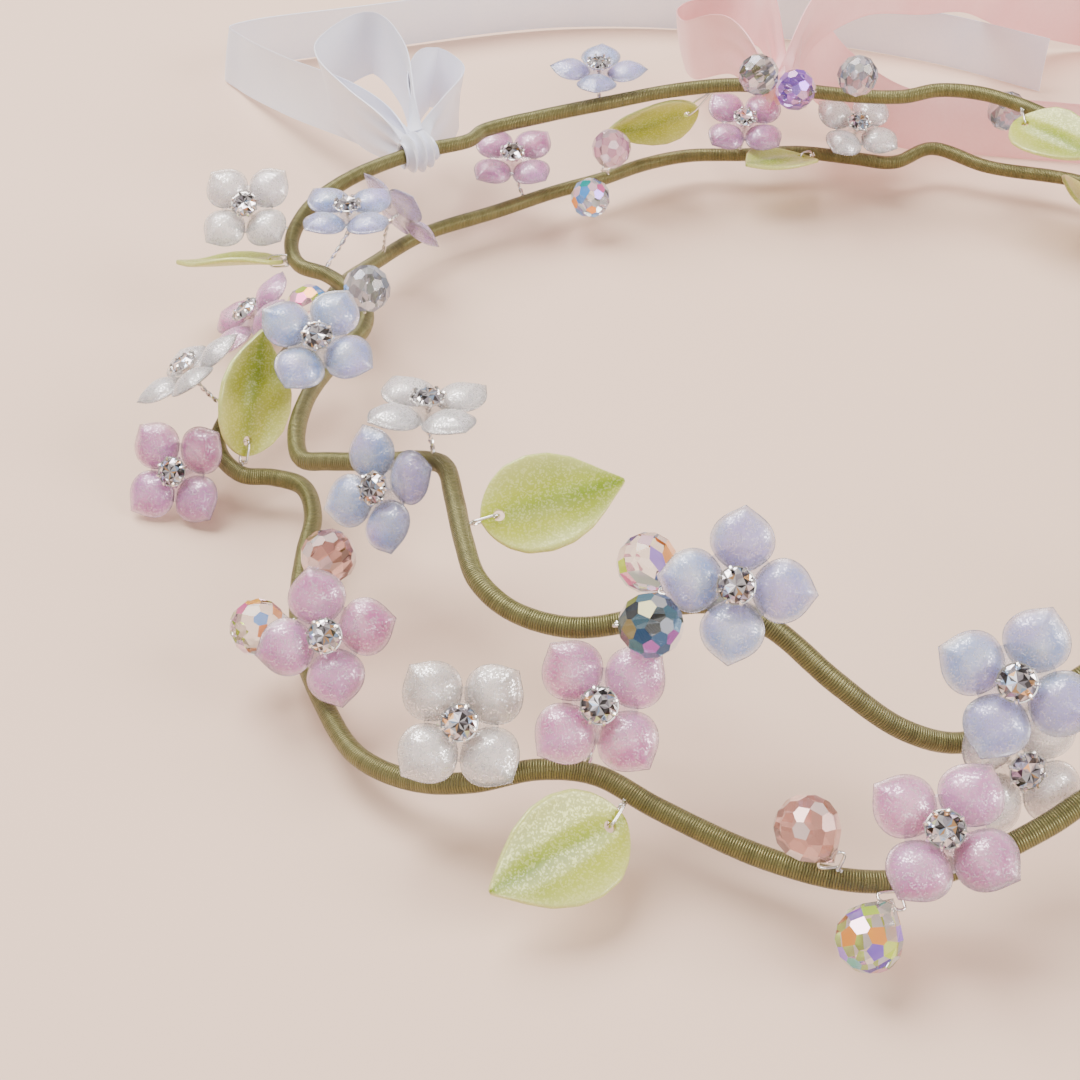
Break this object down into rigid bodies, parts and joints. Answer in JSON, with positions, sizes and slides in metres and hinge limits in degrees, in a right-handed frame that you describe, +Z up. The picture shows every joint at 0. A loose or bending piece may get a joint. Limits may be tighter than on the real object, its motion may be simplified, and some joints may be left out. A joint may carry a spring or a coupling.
{
  "type": "flower crown",
  "caption": "Ring of two interlaced thread-wrapped wires with resin blossoms and leaves, glass drops and two ribbon ties, worn round the head.",
  "frame": {"origin": "centre of the head opening, on the surface that the crown lies on", "axes": "+Z up, -Y towards the front of the crown, with the ribbons tied at +Y"},
  "size_m": [0.2188, 0.2721, 0.0387],
  "materials": {
    "silver_wire": "bright silver-plated wire and claw cups",
    "olive_thread": "satin thread wound in close turns",
    "clear_resin": "translucent frosted resin with a fine shimmer",
    "pearl_resin": "translucent frosted resin with a pearl shimmer",
    "blue_resin": "translucent pale blue resin with a fine shimmer",
    "pink_resin": "translucent pale pink resin with a fine shimmer",
    "mauve_resin": "translucent mauve resin with a fine shimmer",
    "violet_resin": "translucent violet resin with a fine shimmer",
    "leaf_resin": "translucent yellow-green resin with fine glitter",
    "champagne_glass": "faceted cut glass",
    "aurora_glass": "faceted cut glass with a rainbow coating",
    "ink_glass": "faceted cut glass with a dark rainbow coating",
    "smoke_glass": "faceted cut glass",
    "mauve_glass": "faceted cut glass",
    "violet_glass": "faceted cut glass with a rainbow coating",
    "pale_blue_satin": "satin ribbon",
    "pink_satin": "satin ribbon"
  },
  "bodies": {
    "crown": {"clear_left_back_blossom": "clear_resin", "blue_left_back_blossom": "blue_resin", "violet_left_back_blossom": "violet_resin", "mauve_back_blossom": "mauve_resin", "blue_left_blossom": "blue_resin", "pink_left_blossom": "pink_resin", "clear_left_blossom": "clear_resin", "mauve_left_blossom": "mauve_resin", "clear_left_front_blossom": "clear_resin", "blue_left_front_blossom": "blue_resin", "pink_left_front_blossom": "pink_resin", "pearl_front_blossom": "pearl_resin", "pink_front_blossom": "pink_resin", "blue_front_blossom": "blue_resin", "blue_right_front_blossom": "blue_resin", "pink_right_front_blossom": "pink_resin", "clear_right_front_blossom": "clear_resin", "pearl_right_front_blossom": "pearl_resin", "blue_back_blossom": "blue_resin", "mauve_right_back_blossom": "mauve_resin", "clear_right_back_blossom": "clear_resin", "blue_right_blossom": "blue_resin", "pink_right_blossom": "pink_resin", "pearl_right_blossom": "pearl_resin", "mauve_right_blossom": "mauve_resin", "pale_blue_ribbon": "pale_blue_satin", "pink_ribbon": "pink_satin", "lower_vine_wire": "silver_wire", "lower_vine_thread": "olive_thread", "upper_vine_wire": "silver_wire", "upper_vine_thread": "olive_thread", "lower_vine_binding": "olive_thread", "upper_vine_binding": "olive_thread"},
    "left_leaf": {"left_leaf": "leaf_resin"},
    "left_front_leaf": {"left_front_leaf": "leaf_resin"},
    "front_leaf": {"front_leaf": "leaf_resin"},
    "left_back_leaf": {"left_back_leaf": "leaf_resin"},
    "back_leaf": {"back_leaf": "leaf_resin"},
    "right_back_leaf": {"right_back_leaf": "leaf_resin"},
    "right_back_upper_leaf": {"right_back_upper_leaf": "leaf_resin"},
    "right_back_lower_leaf": {"right_back_lower_leaf": "leaf_resin"},
    "right_front_leaf": {"right_front_leaf": "leaf_resin"},
    "champagne_left_drop": {"champagne_left_drop": "champagne_glass"},
    "clear_left_drop": {"clear_left_drop": "aurora_glass"},
    "clear_front_drop": {"clear_front_drop": "aurora_glass"},
    "ink_front_drop": {"ink_front_drop": "ink_glass"},
    "champagne_front_drop": {"champagne_front_drop": "champagne_glass"},
    "clear_right_front_drop": {"clear_right_front_drop": "aurora_glass"},
    "clear_left_back_drop": {"clear_left_back_drop": "aurora_glass"},
    "smoke_left_back_drop": {"smoke_left_back_drop": "smoke_glass"},
    "clear_back_drop": {"clear_back_drop": "aurora_glass"},
    "mauve_back_drop": {"mauve_back_drop": "mauve_glass"},
    "violet_back_drop": {"violet_back_drop": "violet_glass"},
    "smoke_back_drop": {"smoke_back_drop": "smoke_glass"},
    "smoke_right_back_drop": {"smoke_right_back_drop": "smoke_glass"},
    "grey_right_back_drop": {"grey_right_back_drop": "smoke_glass"},
    "clear_right_drop": {"clear_right_drop": "aurora_glass"}
  },
  "joints": [
    {"name": "left_leaf_swing", "type": "hinge", "parent": "crown", "child": "left_leaf", "pos_m": [-0.09035, -0.01308, 0.00994], "axis": [0.6838, -0.6379, 0.3543], "range_deg": [-20, 20]},
    {"name": "left_front_leaf_swing", "type": "hinge", "parent": "crown", "child": "left_front_leaf", "pos_m": [-0.05206, -0.04827, 0.0237], "axis": [0.0538, -0.624, 0.7796], "range_deg": [-20, 20]},
    {"name": "front_leaf_swing", "type": "hinge", "parent": "crown", "child": "front_leaf", "pos_m": [-0.03908, -0.08555, 0.00817], "axis": [0.3519, -0.435, 0.8288], "range_deg": [-16, 20]},
    {"name": "left_back_leaf_swing", "type": "hinge", "parent": "crown", "child": "left_back_leaf", "pos_m": [-0.09263, 0.03352, 0.01364], "axis": [-0.0416, 0.3966, 0.917], "range_deg": [-20, 20]},
    {"name": "back_leaf_swing", "type": "hinge", "parent": "crown", "child": "back_leaf", "pos_m": [-0.01868, 0.08441, 0.01726], "axis": [0.1338, -0.8744, -0.4665], "range_deg": [-6, 20]},
    {"name": "right_back_leaf_swing", "type": "hinge", "parent": "crown", "child": "right_back_leaf", "pos_m": [0.00439, 0.08583, 0.00726], "axis": [0.1016, 0.197, 0.9751], "range_deg": [-12, 16]},
    {"name": "right_back_upper_leaf_swing", "type": "hinge", "parent": "crown", "child": "right_back_upper_leaf", "pos_m": [0.04267, 0.07154, 0.02076], "axis": [-0.2689, -0.1883, 0.9446], "range_deg": [-20, 12]},
    {"name": "right_back_lower_leaf_swing", "type": "hinge", "parent": "crown", "child": "right_back_lower_leaf", "pos_m": [0.05748, 0.07128, 0.00741], "axis": [0.4023, 0.0952, 0.9106], "range_deg": [-20, 6]},
    {"name": "right_front_leaf_swing", "type": "hinge", "parent": "crown", "child": "right_front_leaf", "pos_m": [0.04396, -0.08501, 0.00839], "axis": [-0.1249, -0.127, 0.984], "range_deg": [-20, 20]},
    {"name": "champagne_left_drop_swing", "type": "hinge", "parent": "crown", "child": "champagne_left_drop", "pos_m": [-0.07738, -0.04194, 0.00923], "axis": [-0.1698, -0.942, -0.2896], "range_deg": [-16, 20]},
    {"name": "clear_left_drop_swing", "type": "hinge", "parent": "crown", "child": "clear_left_drop", "pos_m": [-0.0807, -0.05044, 0.00751], "axis": [0.4942, -0.6866, -0.5332], "range_deg": [-20, 20]},
    {"name": "clear_front_drop_swing", "type": "hinge", "parent": "crown", "child": "clear_front_drop", "pos_m": [-0.03181, -0.06357, 0.02541], "axis": [0.8865, 0.4562, 0.0774], "range_deg": [-20, 20]},
    {"name": "ink_front_drop_swing", "type": "hinge", "parent": "crown", "child": "ink_front_drop", "pos_m": [-0.03677, -0.07008, 0.02521], "axis": [0.892, 0.4044, -0.2018], "range_deg": [-3, 3]},
    {"name": "champagne_front_drop_swing", "type": "hinge", "parent": "crown", "child": "champagne_front_drop", "pos_m": [-0.01519, -0.09166, 0.0104], "axis": [0.8354, 0.1019, 0.54], "range_deg": [-20, 20]},
    {"name": "clear_right_front_drop_swing", "type": "hinge", "parent": "crown", "child": "clear_right_front_drop", "pos_m": [-0.00873, -0.0953, 0.00664], "axis": [0.8305, -0.5536, -0.0619], "range_deg": [-20, 20]},
    {"name": "clear_left_back_drop_swing", "type": "hinge", "parent": "crown", "child": "clear_left_back_drop", "pos_m": [-0.07865, 0.0134, 0.01517], "axis": [0.1675, -0.9858, -0.014], "range_deg": [-20, 6]},
    {"name": "smoke_left_back_drop_swing", "type": "hinge", "parent": "crown", "child": "smoke_left_back_drop", "pos_m": [-0.07469, 0.01479, 0.01686], "axis": [0.0502, -0.8251, -0.5628], "range_deg": [-20, 20]},
    {"name": "clear_back_drop_swing", "type": "hinge", "parent": "crown", "child": "clear_back_drop", "pos_m": [-0.0387, 0.0725, 0.00685], "axis": [-0.9613, -0.2697, -0.0552], "range_deg": [-20, 20]},
    {"name": "mauve_back_drop_swing", "type": "hinge", "parent": "crown", "child": "mauve_back_drop", "pos_m": [-0.03366, 0.07805, 0.00962], "axis": [-0.8436, -0.4956, -0.2069], "range_deg": [-20, 20]},
    {"name": "violet_back_drop_swing", "type": "hinge", "parent": "crown", "child": "violet_back_drop", "pos_m": [0.00284, 0.07872, 0.02422], "axis": [-0.8413, 0.5244, -0.1311], "range_deg": [-20, 20]},
    {"name": "smoke_back_drop_swing", "type": "hinge", "parent": "crown", "child": "smoke_back_drop", "pos_m": [-0.00786, 0.07863, 0.02623], "axis": [-0.9807, -0.1109, 0.1607], "range_deg": [-10, 20]},
    {"name": "smoke_right_back_drop_swing", "type": "hinge", "parent": "crown", "child": "smoke_right_back_drop", "pos_m": [0.01179, 0.0787, 0.02501], "axis": [-0.9911, 0.1332, -0.0058], "range_deg": [-20, 20]},
    {"name": "grey_right_back_drop_swing", "type": "hinge", "parent": "crown", "child": "grey_right_back_drop", "pos_m": [0.04103, 0.08181, 0.02015], "axis": [-0.8556, 0.5168, 0.0282], "range_deg": [-20, 20]},
    {"name": "clear_right_drop_swing", "type": "hinge", "parent": "crown", "child": "clear_right_drop", "pos_m": [0.0787, -0.02635, 0.02084], "axis": [0.2258, 0.9697, 0.0934], "range_deg": [-20, 20]}
  ]
}
